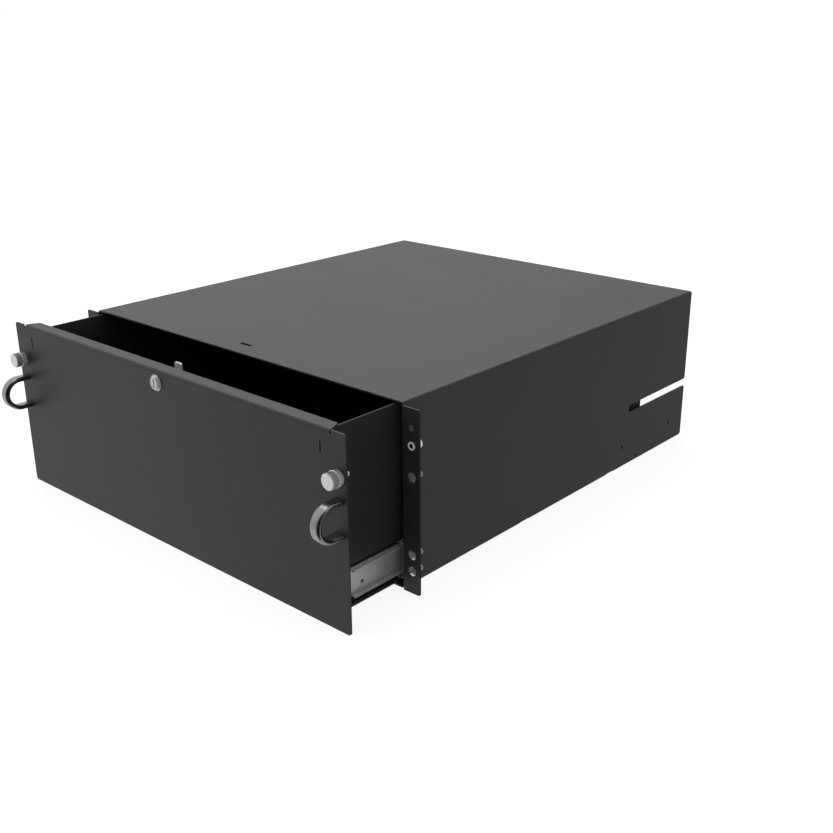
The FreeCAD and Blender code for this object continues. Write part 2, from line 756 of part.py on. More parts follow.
def handle(x):
    """Oval bar bent to a C, with plain feet on the panel."""
    low_z, high_z = handle_foot_zs()
    radius = (high_z - low_z) / 2
    arc_y = panel_front_y - handle_reach + handle_thick / 2 + radius
    flat = (handle_width - handle_thick) / 2
    round_r = handle_thick / 2
    edges = []
    for way in (1, -1):
        side = x + way * flat
        edges.append(Part.Arc(Vector(side, panel_front_y, low_z - way * round_r),
                              Vector(side + way * round_r, panel_front_y, low_z),
                              Vector(side, panel_front_y, low_z + way * round_r)).toShape())
    edges.append(Part.makeLine(Vector(x + flat, panel_front_y, low_z + round_r),
                               Vector(x - flat, panel_front_y, low_z + round_r)))
    edges.append(Part.makeLine(Vector(x + flat, panel_front_y, low_z - round_r),
                               Vector(x - flat, panel_front_y, low_z - round_r)))
    section = Part.Face(Part.Wire(Part.__sortEdges__(edges)))
    lower_leg = section.extrude(Vector(0, arc_y - panel_front_y, 0))
    upper_leg = lower_leg.copy()
    upper_leg.translate(Vector(0, 0, high_z - low_z))
    at_arc = section.copy()
    at_arc.translate(Vector(0, arc_y - panel_front_y, 0))
    loop = at_arc.revolve(Vector(x, arc_y, handle_mid_z), Vector(-1, 0, 0), 180)
    grip = lower_leg.fuse([loop, upper_leg]).removeSplitter()
    for z in (low_z, high_z):
        grip = grip.cut(bar(x, z, handle_screw_r, panel_front_y - handle_screw_length, panel_front_y))
    return grip


def handle_screws():
    """Countersunk screws from behind the panel into the feet of both handles."""
    screws = []
    reach_y = panel_front_y - handle_screw_length
    profile = ((0, reach_y), (handle_screw_r, reach_y)) + handle_screw_cone()[1:]
    for x in (-hole_x, hole_x):
        for z in handle_foot_zs():
            screws.append(turned(x, z, profile))
    return Part.makeCompound(screws)


# Captive thumbscrews, drawn at x

def thumb_ferrule(x):
    """Cup pressed into the panel. Its hollow lets the clip run in and out."""
    front = panel_front_y - ferrule_reach
    neck = thumb_shank_r + clip_gap + thumb_gap
    profile = ((neck, front), (ferrule_r - ferrule_wall / 2, front), (ferrule_r, front + ferrule_wall / 2),
               (ferrule_r, panel_front_y), (ferrule_spigot_r, panel_front_y),
               (ferrule_spigot_r, panel_back_y), (neck, panel_back_y), (neck, panel_back_y - ferrule_wall),
               (ferrule_bore_r, panel_back_y - ferrule_wall), (ferrule_bore_r, front + ferrule_wall),
               (neck, front + ferrule_wall))
    return turned(x, thumb_row, profile)


def clip_y():
    """The clip rests near the back wall of the ferrule when the screw is pushed in."""
    return panel_back_y - ferrule_wall - thumb_gap - clip_sheet


def thumb_clip(x):
    """Open ring in the screw's groove, which keeps the screw in the ferrule."""
    inner = thumb_neck_r + clip_gap
    front = clip_y()
    back = front + clip_sheet
    ring = turned(x, thumb_row, ((inner, front), (clip_r, front), (clip_r, back), (inner, back)))
    mouth = block_between("XZ", (x - thumb_neck_r, thumb_row - clip_r - clip_sheet),
                          (x + thumb_neck_r, thumb_row), front - clip_sheet, back + clip_sheet)
    return ring.cut(mouth)


def thumb_screw(x):
    """Threaded shank with a groove for the clip, and a plain head end inside the knob."""
    groove = clip_y() - clip_gap
    groove_end = clip_y() + clip_sheet + clip_gap
    knob_back = panel_front_y - ferrule_reach - thumb_gap
    start = knob_back - thumb_knob_length / 2
    tip = panel_back_y + thumb_shank_reach
    profile = ((0, start), (thumb_shank_r, start), (thumb_shank_r, groove), (thumb_neck_r, groove),
               (thumb_neck_r, groove_end), (thumb_shank_r, groove_end),
               (thumb_shank_r, tip - thumb_tip_chamfer), (thumb_shank_r - thumb_tip_chamfer, tip), (0, tip))
    return turned(x, thumb_row, profile)


def thumb_knob(x):
    """Turned knob pressed on the screw, with fine flutes round its rim."""
    back = panel_front_y - ferrule_reach - thumb_gap
    front = back - thumb_knob_length
    middle = back - thumb_knob_length / 2
    face_r = thumb_knob_r - knob_edge
    profile = ((0, front), (face_r, front), (thumb_knob_r, front + knob_edge),
               (thumb_knob_r, back - knob_edge), (face_r, back), (thumb_shank_r, back),
               (thumb_shank_r, middle), (0, middle))
    rim = []
    for index in range(2 * knob_flutes):
        radius = thumb_knob_r - knob_flute_depth * (index % 2)
        turn = math.pi * index / knob_flutes
        rim.append((x + radius * math.cos(turn), thumb_row + radius * math.sin(turn)))
    return turned(x, thumb_row, profile).common(outline("XZ", rim, front, back))


# Cam lock

def lock_housing():
    """Bezel and barrel in one turned piece, held to the panel by its nut."""
    front = panel_front_y - lock_bezel_proud
    rear = cam_y - cam_sheet
    bore = plug_r + lock_bore_gap
    profile = ((bore, front), (lock_bezel_r - lock_bezel_slope, front),
               (lock_bezel_r, front + lock_bezel_slope), (lock_bezel_r, panel_front_y),
               (lock_body_r, panel_front_y), (lock_body_r, rear), (bore, rear))
    return turned(0, lock_z, profile)


def lock_nut():
    """Thin hexagon nut behind the panel."""
    corner = lock_nut_across / 2 / math.cos(math.radians(30))
    points = []
    for index in range(6):
        turn = math.radians(60 * index)
        points.append((corner * math.cos(turn), lock_z + corner * math.sin(turn)))
    nut = outline("XZ", points, panel_back_y, panel_back_y + lock_nut_thick)
    return nut.cut(bar(0, lock_z, lock_body_r, panel_back_y, panel_back_y + lock_nut_thick))


def lock_plug():
    """Plug with its key slot, and a square end that drives the cam."""
    front = panel_front_y - lock_bezel_proud + plug_sunk
    shoulder = cam_y - cam_sheet / 2
    plug = bar(0, lock_z, plug_r, front, shoulder)
    half = cam_square / 2
    plug = plug.fuse(block_between("XZ", (-half, lock_z - half), (half, lock_z + half),
                                   shoulder, shoulder + cam_sheet)).removeSplitter()
    slot = block_between("XZ", (-key_slot_width / 2, lock_z - key_slot_height / 2),
                         (key_slot_width / 2, lock_z + key_slot_height / 2), front, front + key_slot_depth)
    end = shoulder + cam_sheet
    return plug.cut(slot).cut(bar(0, lock_z, cam_screw_r, end - cam_screw_length, end))


def lock_cam():
    """Flat cam on the plug's square. Locked, its arm stands up through the slit in the chassis top."""
    front = cam_y - cam_sheet / 2
    back = front + cam_sheet
    hub = bar(0, lock_z, cam_hub_r, front, back)
    arm = rounded_plate("XZ", (-cam_width / 2, lock_z - cam_width / 2), (cam_width / 2, lock_z + cam_reach),
                        cam_corner, front, back)
    hole = cam_square / 2 + cam_fit
    square = block_between("XZ", (-hole, lock_z - hole), (hole, lock_z + hole), front, back)
    return hub.fuse(arm).removeSplitter().cut(square)


def cam_screw():
    """Screw that clamps the cam on the plug."""
    back = cam_y + cam_sheet / 2
    tip = back - cam_screw_length
    top = back + cam_screw_head
    profile = ((0, tip), (cam_screw_r, tip), (cam_screw_r, back), (cam_screw_head_r, back),
               (cam_screw_head_r, top), (0, top))
    return turned(0, lock_z, profile)


os.makedirs("parts", exist_ok=True)

save("chassis_shell", chassis_shell())
for end, tie_y in zip(("front", "rear"), foot_notch_ys):
    save("cross_tie_" + end, cross_tie(tie_y))
save("tie_rivets", tie_rivets())
save("rack_screws", rack_screws())
save("ear_inserts", ear_inserts())
save("slide_wall_rivets", wall_rivets())
save("slide_buffers", slide_buffers())

outer_cage_x = (chassis_inside - member_sheet + middle_web_x + member_sheet / 2) / 2
inner_cage_x = middle_web_x - member_sheet / 2 - cage_web_room - cage_sheet / 2
slide_pieces = {
    "slide_outer": slide_outer(),
    "slide_middle": slide_middle(),
    "slide_inner": slide_inner(),
    "cage_outer": cage(outer_cage_x, outer_ball_x, ball_rise, outer_cage_y),
    "cage_inner": cage(inner_cage_x, inner_ball_x, inner_ball_rise, inner_cage_y),
    "balls_outer": ball_rows(outer_ball_x, ball_rise, outer_cage_y),
    "balls_inner": ball_rows(inner_ball_x, inner_ball_rise, inner_cage_y),
}
for name, piece in slide_pieces.items():
    save(name + "_right", piece)
    save(name + "_left", mirrored(piece))

save("drawer_tray", drawer_tray())
save("drawer_back", drawer_back())
save("back_rivets", back_rivets())
save("slide_tray_rivets", tray_rivets())
save("front_panel", front_panel())
save("handle_screws", handle_screws())
for side, side_x in (("left", -hole_x), ("right", hole_x)):
    save("handle_" + side, handle(side_x))
    save("thumb_ferrule_" + side, thumb_ferrule(side_x))
    save("thumb_clip_" + side, thumb_clip(side_x))
    save("thumb_screw_" + side, thumb_screw(side_x))
    save("thumb_knob_" + side, thumb_knob(side_x))
save("lock_housing", lock_housing())
save("lock_nut", lock_nut())
save("lock_plug", lock_plug())
save("lock_cam", lock_cam())
save("cam_screw", cam_screw())
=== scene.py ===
import math

import bmesh
import bpy
import numpy as np
from mathutils import Matrix, Vector


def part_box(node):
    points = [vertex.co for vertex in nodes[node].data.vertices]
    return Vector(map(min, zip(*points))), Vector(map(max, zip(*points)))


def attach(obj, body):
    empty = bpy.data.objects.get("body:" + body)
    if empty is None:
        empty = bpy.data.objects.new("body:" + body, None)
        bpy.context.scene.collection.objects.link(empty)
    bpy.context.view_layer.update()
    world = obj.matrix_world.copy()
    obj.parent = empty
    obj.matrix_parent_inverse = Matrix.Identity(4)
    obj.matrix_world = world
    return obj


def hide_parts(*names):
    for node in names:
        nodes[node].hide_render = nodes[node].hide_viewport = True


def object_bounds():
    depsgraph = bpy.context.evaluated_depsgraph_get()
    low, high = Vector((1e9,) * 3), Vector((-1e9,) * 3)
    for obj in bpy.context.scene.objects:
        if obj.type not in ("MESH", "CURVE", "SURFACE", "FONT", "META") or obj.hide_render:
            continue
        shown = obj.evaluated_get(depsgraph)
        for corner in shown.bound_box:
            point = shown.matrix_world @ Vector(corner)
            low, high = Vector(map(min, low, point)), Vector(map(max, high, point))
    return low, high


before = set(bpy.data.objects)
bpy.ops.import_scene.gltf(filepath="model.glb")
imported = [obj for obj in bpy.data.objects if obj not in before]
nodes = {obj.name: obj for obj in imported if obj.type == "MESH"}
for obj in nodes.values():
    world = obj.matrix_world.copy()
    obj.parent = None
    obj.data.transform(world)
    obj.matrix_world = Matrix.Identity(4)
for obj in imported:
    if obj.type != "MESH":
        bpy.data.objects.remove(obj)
cad_box = [list(corner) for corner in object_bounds()]


# Camera, at the photograph's viewing angle
# It stands to the right of the open drawer, about a metre off, and looks down on it. Sizes and places are in
# metres.

view_azimuth = math.radians(41.771)
view_elevation = math.radians(20.748)
view_roll = math.radians(-0.295)
view_place = (0.7932, -0.6228, 0.4163)
view_lens = 47.12
view_sensor = 36.0
view_near = 0.05
view_far = 200.0

camera_data = bpy.data.cameras.new("camera")
camera_data.sensor_width = view_sensor
camera_data.lens = view_lens
camera_data.clip_start = view_near
camera_data.clip_end = view_far
camera = bpy.data.objects.new("camera", camera_data)
backwards = Vector((math.sin(view_azimuth) * math.cos(view_elevation),
                    -math.cos(view_azimuth) * math.cos(view_elevation),
                    math.sin(view_elevation)))
level = Vector((math.cos(view_azimuth), math.sin(view_azimuth), 0.0))
upright = backwards.cross(level)
across = level * math.cos(view_roll) + upright * math.sin(view_roll)
above = upright * math.cos(view_roll) - level * math.sin(view_roll)
facing = Matrix((across, above, backwards)).transposed().to_4x4()
camera.matrix_world = Matrix.Translation(view_place) @ facing
bpy.context.scene.collection.objects.link(camera)
bpy.context.scene.camera = camera
bpy.context.scene.view_settings.view_transform = "Standard"


# Studio: a white floor that fades into a white surround, and soft lamps
# The camera sees both as plain white, with a pale shadow. Metal and coat mirror a studio that is white on
# the left, grey on the right behind and unlit around the camera. A flag darkens the drawer's right side.

floor_reach = 60.0
floor_white = 0.86
floor_share = 0.7
floor_shine = 1.25
surround_seen = 1.0
surround_light = 0.56
studio_white = 0.80
studio_grey = 0.40
studio_unlit = 0.02
grey_way = (0.67, 0.74, 0.0)
grey_span = (0.2, 0.9)
unlit_way = (0.5, -0.87, 0.0)
unlit_span = (0.30, 0.45)
flag_ends = ((0.243, 0.004), (0.420, 0.004))
flag_heights = (-0.072, 0.13)
flag_black = 0.01
lamp_aim = Vector((0.0, 0.15, 0.0))
lamps = {
    "top_lamp": {"place": (-0.9, 0.9, 2.2), "size": (2.0, 1.6), "watts": 24.0, "mirrored": True},
    "front_lamp": {"place": (-0.9, -2.3, 1.2), "size": (1.6, 1.2), "watts": 10.5, "mirrored": False},
}


def grow(tree, kind, inputs=None, **settings):
    """A new shader node. Each input takes a value, or is linked to a socket of another node."""
    node = tree.nodes.new("ShaderNode" + kind)
    for name, value in settings.items():
        setattr(node, name, value)
    for name, value in (inputs or {}).items():
        if isinstance(value, bpy.types.NodeSocket):
            tree.links.new(value, node.inputs[name])
        else:
            node.inputs[name].default_value = value
    return node


def agreement(tree, first, second):
    """How far one direction goes along another: 1 where they agree, 0 where they are square."""
    return grow(tree, "VectorMath", {0: first, 1: second}, operation="DOT_PRODUCT").outputs["Value"]


def reckoned(tree, operation, first, second, clamp=False):
    """What a step of arithmetic makes of two values."""
    return grow(tree, "Math", {0: first, 1: second}, operation=operation, use_clamp=clamp).outputs[0]


def ranged(tree, value, span=(0.0, 1.0), result=(0.0, 1.0)):
    """A value carried from one range to another: the ends of the span become the ends of the result."""
    return grow(tree, "MapRange", {"Value": value, "From Min": span[0], "From Max": span[1],
                                   "To Min": result[0], "To Max": result[1]}).outputs[0]


def blank(name):
    """A material with no nodes."""
    material = bpy.data.materials.new(name)
    material.use_nodes = True
    material.node_tree.nodes.clear()
    return material


def flat_sheet(name, corners, material):
    """A flat sheet through four corners."""
    mesh = bpy.data.meshes.new(name)
    mesh.from_pydata(corners, [], [(0, 1, 2, 3)])
    mesh.materials.append(material)
    sheet = bpy.data.objects.new(name, mesh)
    bpy.context.scene.collection.objects.link(sheet)
    return sheet


world = bpy.data.worlds.new("surround")
world.use_nodes = True
air = world.node_tree
air.nodes.clear()
rays = grow(air, "LightPath")
toward = grow(air, "TexCoord").outputs["Generated"]
walls = ranged(air, agreement(air, toward, grey_way), grey_span, (studio_white, studio_grey))
opened = ranged(air, agreement(air, toward, unlit_way), unlit_span)
studio = grow(air, "Mix", {"Factor": opened, "A": walls, "B": studio_unlit}).outputs[0]
glossy_ray = rays.outputs["Is Glossy Ray"]
camera_ray = rays.outputs["Is Camera Ray"]
lit = grow(air, "Mix", {"Factor": glossy_ray, "A": surround_light, "B": studio}).outputs[0]
strength = grow(air, "Mix", {"Factor": camera_ray, "A": lit, "B": surround_seen}).outputs[0]
sky = grow(air, "Background", {"Color": (1, 1, 1, 1), "Strength": strength})
grow(air, "OutputWorld", {"Surface": sky.outputs[0]})
bpy.context.scene.world = world

paper = blank("white_paper")
matt = grow(paper.node_tree, "BsdfDiffuse", {"Color": (floor_white, floor_white, floor_white, 1)})
glow = grow(paper.node_tree, "Emission", {"Color": (1, 1, 1, 1), "Strength": floor_shine})
seen = grow(paper.node_tree, "LightPath").outputs["Is Camera Ray"]
glow_share = reckoned(paper.node_tree, "MULTIPLY", seen, floor_share)
shown = grow(paper.node_tree, "MixShader", {0: glow_share, 1: matt.outputs[0], 2: glow.outputs[0]})
grow(paper.node_tree, "OutputMaterial", {"Surface": shown.outputs[0]})
floor_z = cad_box[0][2]
floor_corners = [(-floor_reach, -floor_reach, floor_z), (floor_reach, -floor_reach, floor_z),
                 (floor_reach, floor_reach, floor_z), (-floor_reach, floor_reach, floor_z)]
floor = flat_sheet("floor", floor_corners, paper)
floor.visible_glossy = False

cloth = blank("black_cloth")
dull = grow(cloth.node_tree, "BsdfDiffuse", {"Color": (flag_black, flag_black, flag_black, 1)})
grow(cloth.node_tree, "OutputMaterial", {"Surface": dull.outputs[0]})
flag_corners = [(*flag_ends[0], flag_heights[0]), (*flag_ends[1], flag_heights[0]),
                (*flag_ends[1], flag_heights[1]), (*flag_ends[0], flag_heights[1])]
flag = flat_sheet("black_flag", flag_corners, cloth)
flag.visible_camera = False
flag.visible_diffuse = False
flag.visible_shadow = False

for name, lamp in lamps.items():
    lamp_data = bpy.data.lights.new(name, "AREA")
    lamp_data.shape = "RECTANGLE"
    lamp_data.size, lamp_data.size_y = lamp["size"]
    lamp_data.energy = lamp["watts"]
    lamp_object = bpy.data.objects.new(name, lamp_data)
    place = Vector(lamp["place"])
    turn = (place - lamp_aim).to_track_quat("Z", "Y").to_matrix().to_4x4()
    lamp_object.matrix_world = Matrix.Translation(place) @ turn
    lamp_object.visible_glossy = lamp["mirrored"]
    bpy.context.scene.collection.objects.link(lamp_object)


# Chassis: one sheet of steel bent into top, sides, foot flanges and ears, under matt black powder coat
# The coat has a fine orange peel, is a little thinner and lighter on the sharp edges, and holds some dust.
# The panel has the same coat, and the drawer's box and the cross ties a duller and dustier one.

coat_black = (0.021, 0.021, 0.0213)
coat_thin = (0.06, 0.06, 0.061)
coat_dust = (0.16, 0.155, 0.145)
coat_lift = 1.25
coat_cloud_span = (0.35, 0.65)
coat_drift = 0.02
coat_dulling = 0.3
coat_edge_share = 0.8
coat_edge_r = 0.0005
coat_relief = 0.00006
edge_r = 0.0006
edge_samples = 4
edge_start = 0.01
edge_reach = 0.25
edge_bumps = 180.0
edge_span = (0.35, 0.65)
edge_kept = (0.3, 1.0)
peel_bumps = 900.0
cloud_bumps = 9.0
dust_amount = 0.3
dust_up_span = (0.2, 0.9)
dust_up_share = (0.15, 1.0)
film_bumps = 16.0
film_span = (0.35, 0.8)
speck_bumps = 2600.0
speck_span = (0.66, 0.8)
speck_share = (0.0, 0.8)
mix_colour_slots = (6, 7)
mix_colour_outcome = 2


def effect(name, inputs, outputs):
    """An empty shader node group with named inputs and outputs. An input is (name, value)."""
    group = bpy.data.node_groups.new(name, "ShaderNodeTree")
    for label, value in inputs:
        socket = group.interface.new_socket(name=label, in_out="INPUT", socket_type="NodeSocketFloat")
        socket.default_value = value
    for label in outputs:
        group.interface.new_socket(name=label, in_out="OUTPUT", socket_type="NodeSocketFloat")
    return group, group.nodes.new("NodeGroupInput"), group.nodes.new("NodeGroupOutput")


def hand_out(group, last, sockets):
    """Link sockets to the outputs of a node group."""
    for name, socket in sockets.items():
        group.links.new(socket, last.inputs[name])


def object_noise(tree, bumps, detail, stretch=(1.0, 1.0, 1.0)):
    """Noise fixed to the object, with so many bumps a metre."""
    place = grow(tree, "TexCoord").outputs["Object"]
    spread = grow(tree, "VectorMath", {0: place, 1: stretch}, operation="MULTIPLY").outputs[0]
    return grow(tree, "TexNoise", {"Vector": spread, "Scale": bumps, "Detail": detail}).outputs["Fac"]


def edge_group():
    """Mask of the sharp edges: how far the normal of a rounded edge leans from the flat one, broken up by
    noise."""
    group, first, last = effect("edge_wear", [("Radius", edge_r), ("Reach", edge_reach)], ["Mask"])
    rounded = grow(group, "Bevel", {"Radius": first.outputs["Radius"]}, samples=edge_samples).outputs[0]
    flat = grow(group, "NewGeometry").outputs["True Normal"]
    lean = reckoned(group, "SUBTRACT", 1.0, agreement(group, rounded, flat))
    mask = ranged(group, lean, (edge_start, first.outputs["Reach"]))
    broken = ranged(group, object_noise(group, edge_bumps, detail=4.0), edge_span, edge_kept)
    hand_out(group, last, {"Mask": reckoned(group, "MULTIPLY", mask, broken)})
    return group


def peel_group():
    """Orange peel: the height of fine cured powder, and a slow cloud of glossier and duller patches."""
    group, first, last = effect("orange_peel", [("Scale", peel_bumps), ("Cloud Scale", cloud_bumps)],
                                ["Height", "Cloud"])
    hand_out(group, last, {"Height": object_noise(group, first.outputs["Scale"], detail=3.0),
                           "Cloud": object_noise(group, first.outputs["Cloud Scale"], detail=3.0)})
    return group


def dust_group():
    """Dust: specks and a thin film, thickest where the surface faces up."""
    group, first, last = effect("dust", [("Amount", dust_amount)], ["Mask"])
    normal = grow(group, "SeparateXYZ", {0: grow(group, "NewGeometry").outputs["True Normal"]})
    upwards = ranged(group, normal.outputs["Z"], dust_up_span, dust_up_share)
    film = ranged(group, object_noise(group, film_bumps, detail=5.0), film_span)
    specks = ranged(group, object_noise(group, speck_bumps, detail=1.0), speck_span, speck_share)
    laid = reckoned(group, "MULTIPLY", reckoned(group, "ADD", film, specks), upwards)
    hand_out(group, last, {"Mask": reckoned(group, "MULTIPLY", laid, first.outputs["Amount"], clamp=True)})
    return group


effects = {"edge": edge_group(), "peel": peel_group(), "dust": dust_group()}


def place_effect(tree, name, **values):
    """One of the shared effects in a material, with its own values."""
    node = tree.nodes.new("ShaderNodeGroup")
    node.node_tree = effects[name]
    for label, value in values.items():
        node.inputs[label].default_value = value
    return node


def mixed(tree, share, first, second):
    """Colour that goes from the first to the second as share goes from 0 to 1. The Mix node keeps its sockets
    for colours behind those for values and vectors."""
    mix = grow(tree, "Mix", {"Factor": share}, data_type="RGBA")
    for slot, colour in zip(mix_colour_slots, (first, second)):
        if isinstance(colour, bpy.types.NodeSocket):
            tree.links.new(colour, mix.inputs[slot])
        else:
            mix.inputs[slot].default_value = (*colour, 1.0)
    return mix.outputs[mix_colour_outcome]


def finished(material, colour, roughness, height, relief, metal=0.0):
    """Give a material its colour, its roughness and a relief of so many metres, from sockets."""
    tree = material.node_tree
    bump = grow(tree, "Bump", {"Height": height, "Distance": relief, "Strength": 1.0})
    shader = grow(tree, "BsdfPrincipled", {"Base Color": colour, "Roughness": roughness, "Metallic": metal,
                                           "Normal": bump.outputs[0]})
    grow(tree, "OutputMaterial", {"Surface": shader.outputs[0]})
    return material


def powder_coat(name, roughness, dust):
    """Black powder coat: lighter in clouds and where it thins at the edges, dusty, with a relief of orange
    peel."""
    material = blank(name)
    tree = material.node_tree
    peel = place_effect(tree, "peel")
    cloud = peel.outputs["Cloud"]
    edge = place_effect(tree, "edge", Radius=coat_edge_r).outputs["Mask"]
    film = place_effect(tree, "dust", Amount=dust).outputs["Mask"]
    lighter = tuple(coat_lift * part for part in coat_black)
    body = mixed(tree, ranged(tree, cloud, coat_cloud_span), coat_black, lighter)
    edged = mixed(tree, ranged(tree, edge, result=(0.0, coat_edge_share)), body, coat_thin)
    colour = mixed(tree, film, edged, coat_dust)
    patchy = ranged(tree, cloud, coat_cloud_span, (roughness - coat_drift, roughness + coat_drift))
    rough = reckoned(tree, "ADD", patchy, ranged(tree, film, result=(0.0, coat_dulling)))
    return finished(material, colour, rough, peel.outputs["Height"], coat_relief)


def dress(material, *names):
    """Give CAD nodes a material."""
    for name in names:
        mesh = nodes[name].data
        mesh.materials.clear()
        mesh.materials.append(material)


coat = powder_coat("black_powder_coat", roughness=0.46, dust=0.03)
dress(coat, "chassis_shell", "front_panel")
inner_coat = powder_coat("black_powder_coat_inside", roughness=0.52, dust=0.1)
dress(inner_coat, "drawer_tray", "drawer_back", "cross_tie_front", "cross_tie_rear")


# Slides: members roll-formed from zinc-plated strip, with cages of thinner strip and steel balls
# The plating is bright but cloudy, with faint roll marks along the members. The rivets in the chassis are
# black, darker than the coat as a painted shade of their recesses, and those in the drawer are plain.

zinc_grey = (0.84, 0.84, 0.84)
cage_grey = (0.42, 0.42, 0.41)
ball_grey = (0.72, 0.72, 0.73)
rivet_grey = (0.40, 0.40, 0.41)
rivet_black_painted_shade = (0.012, 0.012, 0.012)
roll_streak = 0.03
mark_bumps = 240.0
metal_cloud_bumps = 22.0
metal_span = (0.3, 0.7)
metal_darker = 0.78
metal_brighter = 1.18
metal_drift = (-0.05, 0.08)
mark_drift = (-0.04, 0.06)
metal_edge_r = 0.0003
metal_relief = 0.00002


def rolled_metal(name, colour, roughness, streak=1.0, metal=1.0):
    """Plated or plain metal: fine marks, drawn out along Y where streak is small, and clouds in colour and
    gloss. The edges are brighter."""
    material = blank(name)
    tree = material.node_tree
    marks = object_noise(tree, mark_bumps, detail=3.0, stretch=(1.0, streak, 1.0))
    cloud = object_noise(tree, metal_cloud_bumps, detail=4.0)
    edge = place_effect(tree, "edge", Radius=metal_edge_r).outputs["Mask"]
    darker = tuple(metal_darker * part for part in colour)
    bright = tuple(min(1.0, metal_brighter * part) for part in colour)
    body = mixed(tree, ranged(tree, cloud, metal_span), darker, colour)
    face = mixed(tree, edge, body, bright)
    cloudy = ranged(tree, cloud, metal_span, (roughness + metal_drift[0], roughness + metal_drift[1]))
    rough = reckoned(tree, "ADD", cloudy, ranged(tree, marks, metal_span, mark_drift))
    return finished(material, face, rough, marks, metal_relief, metal)


zinc = rolled_metal("bright_zinc", zinc_grey, roughness=0.44, streak=roll_streak, metal=0.65)
cage_steel = rolled_metal("cage_strip", cage_grey, roughness=0.42, streak=roll_streak)
ball_steel = rolled_metal("ball_steel", ball_grey, roughness=0.12)
for side in ("left", "right"):
    dress(zinc, "slide_outer_" + side, "slide_middle_" + side, "slide_inner_" + side)
    dress(cage_steel, "cage_outer_" + side, "cage_inner_" + side)
    dress(ball_steel, "balls_outer_" + side, "balls_inner_" + side)
rivet_steel = rolled_metal("plain_rivet", rivet_grey, roughness=0.4)
dress(rivet_steel, "back_rivets", "slide_tray_rivets")
# The chassis rivets are black like the coat and darker still, as painted shade of their recesses.
black_painted_shade_rivet = rolled_metal("black_rivet_painted_shade", rivet_black_painted_shade, roughness=0.6, metal=0.3)
dress(black_painted_shade_rivet, "slide_wall_rivets", "tie_rivets")


# Rack screws: oval countersunk steel screws with a cross recess, three in each ear, under nickel
# They stand in the ears by their cones, and their threads show behind the ears.

rack_unit = 0.04445
rack_hole_step = 0.015875
screw_rows = (rack_unit, rack_hole_step - rack_unit, -rack_unit)
screw_nickel = (0.80, 0.80, 0.78)
screw_head_r = 0.0044
screw_dome = 0.0011
screw_r = 0.0025
screw_pitch = 0.0008
screw_thread_start = 0.0002
recess_span = 0.0036
recess_width = 0.0009
recess_depth = 0.0014
recess_edge = 0.0001
recess_rise = 0.25
recess_reach = 0.55
recess_rows = 44
rim_start = 0.56
rim_rows = 22
head_columns = 160
thread_depth = 0.36
thread_rows = 6
thread_columns = 40
weld_gap = 1e-7
sharp_angle = math.radians(40)
ear_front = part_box("chassis_shell")[0].y
screw_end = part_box("rack_screws")[1].y
column_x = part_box("rack_screws")[1].x - screw_head_r
screw_columns = (-column_x, column_x)


def around(radius, along, centre, columns):
    """Grid of a piece turned about a line along Y: x = centre x + radius cos(turn), z = centre z + radius
    sin(turn), y = along. Radius and along hold one value for each row, or one for each row and column."""
    turn = np.linspace(0.0, 2 * np.pi, columns, endpoint=False)
    radius = np.broadcast_to(radius.reshape(len(radius), -1), (len(radius), columns))
    along = np.broadcast_to(along.reshape(len(along), -1), (len(along), columns))
    return np.stack((centre[0] + radius * np.cos(turn), along, centre[1] + radius * np.sin(turn)), axis=-1)


def turned(profile, centre, columns):
    """Grid of a profile of radius and y, turned about a line along Y."""
    return around(profile[:, 0], profile[:, 1], centre, columns)


def piece(name, grids, material, body, finish, *stands_for):
    """One object from grids whose rows close round on themselves. Neighbouring points make quads, and edges
    sharper than 40 degrees stay sharp."""
    mesh = bpy.data.meshes.new(name)
    points = []
    faces = []
    base = 0
    for grid in grids:
        rows, columns = grid.shape[:2]
        start = base + np.arange(rows - 1)[:, None] * columns
        first = start + np.arange(columns)
        beside = start + (np.arange(columns) + 1) % columns
        faces.append(np.stack((first, beside, beside + columns, first + columns), axis=-1).reshape(-1, 4))
        points.append(grid.reshape(-1, 3))
        base += rows * columns
    mesh.from_pydata(np.concatenate(points).tolist(), [], np.concatenate(faces).tolist())
    shape = bmesh.new()
    shape.from_mesh(mesh)
    bmesh.ops.remove_doubles(shape, verts=shape.verts, dist=weld_gap)
    bmesh.ops.dissolve_degenerate(shape, dist=weld_gap, edges=shape.edges)
    bmesh.ops.recalc_face_normals(shape, faces=shape.faces)
    for face in shape.faces:
        face.smooth = True
    for edge in shape.edges:
        edge.smooth = len(edge.link_faces) != 2 or edge.calc_face_angle() < sharp_angle
    shape.to_mesh(mesh)
    shape.free()
    mesh.materials.append(material)
    made = bpy.data.objects.new(name, mesh)
    bpy.context.scene.collection.objects.link(made)
    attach(made, body)
    if stands_for:
        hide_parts(*stands_for)


def capped(grid):
    """Grid with a row added at each end, all of whose points lie in the middle of the end's ring."""
    first = np.broadcast_to(grid[:1].mean(axis=1, keepdims=True), grid[:1].shape)
    last = np.broadcast_to(grid[-1:].mean(axis=1, keepdims=True), grid[-1:].shape)
    return np.concatenate((first, grid, last))


def softened(value, edge):
    """0 below -edge, 1 above edge, and a smooth step between."""
    share = np.clip((value + edge) / (2 * edge), 0.0, 1.0)
    return share * share * (3 - 2 * share)


def threaded(start, end, centre, radius, pitch):
    """Screw thread: between crests the radius falls by 0.36 of the pitch, as a triangle wave of y / pitch
    less the turn, and it shrinks to the root over the last pitch."""
    along = np.arange(start, end, pitch / thread_rows)
    turn = np.linspace(0.0, 1.0, thread_columns, endpoint=False)
    wave = np.abs(2 * ((along[:, None] / pitch - turn) % 1.0) - 1)
    fade = np.clip((end - along) / pitch, 0.0, 1.0)[:, None]
    crest = radius - thread_depth * pitch * (wave * fade + 1 - fade)
    tip = np.array(((crest[-1].min(), along[-1]), (0.0, end)))
    flanks = around(crest, along, centre, thread_columns)
    return np.concatenate((flanks, turned(tip, centre, thread_columns)))


